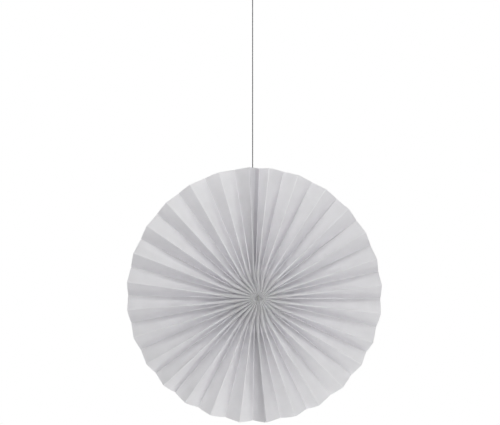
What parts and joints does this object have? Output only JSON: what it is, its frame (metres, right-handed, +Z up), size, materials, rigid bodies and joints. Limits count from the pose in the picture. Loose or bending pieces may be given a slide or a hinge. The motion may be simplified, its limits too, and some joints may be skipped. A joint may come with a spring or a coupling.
{
  "type": "paper fan medallion",
  "caption": "Round hanging party decoration: one sheet of paper in radial accordion pleats, tied at its centre and opened into a full circle, on a thread.",
  "frame": {"origin": "where the thread's top loop bears on its hook: the underside of the loop's crown, in its middle", "axes": "+Z up, -Y the face that is looked at, +X to the right of the face as it is looked at"},
  "size_m": [0.4044, 0.0342, 0.6973],
  "materials": {
    "paper": "matte",
    "tape": "matte",
    "tie_thread": "matte",
    "hanging_thread": "matte"
  },
  "bodies": {
    "root": {"pleated_sheet": "paper", "top_seam_tape": "tape", "bottom_seam_tape": "tape", "waist_tie": "tie_thread", "stopper_knot": "hanging_thread", "hanging_thread": "hanging_thread", "hook_loop": "hanging_thread"}
  },
  "joints": []
}
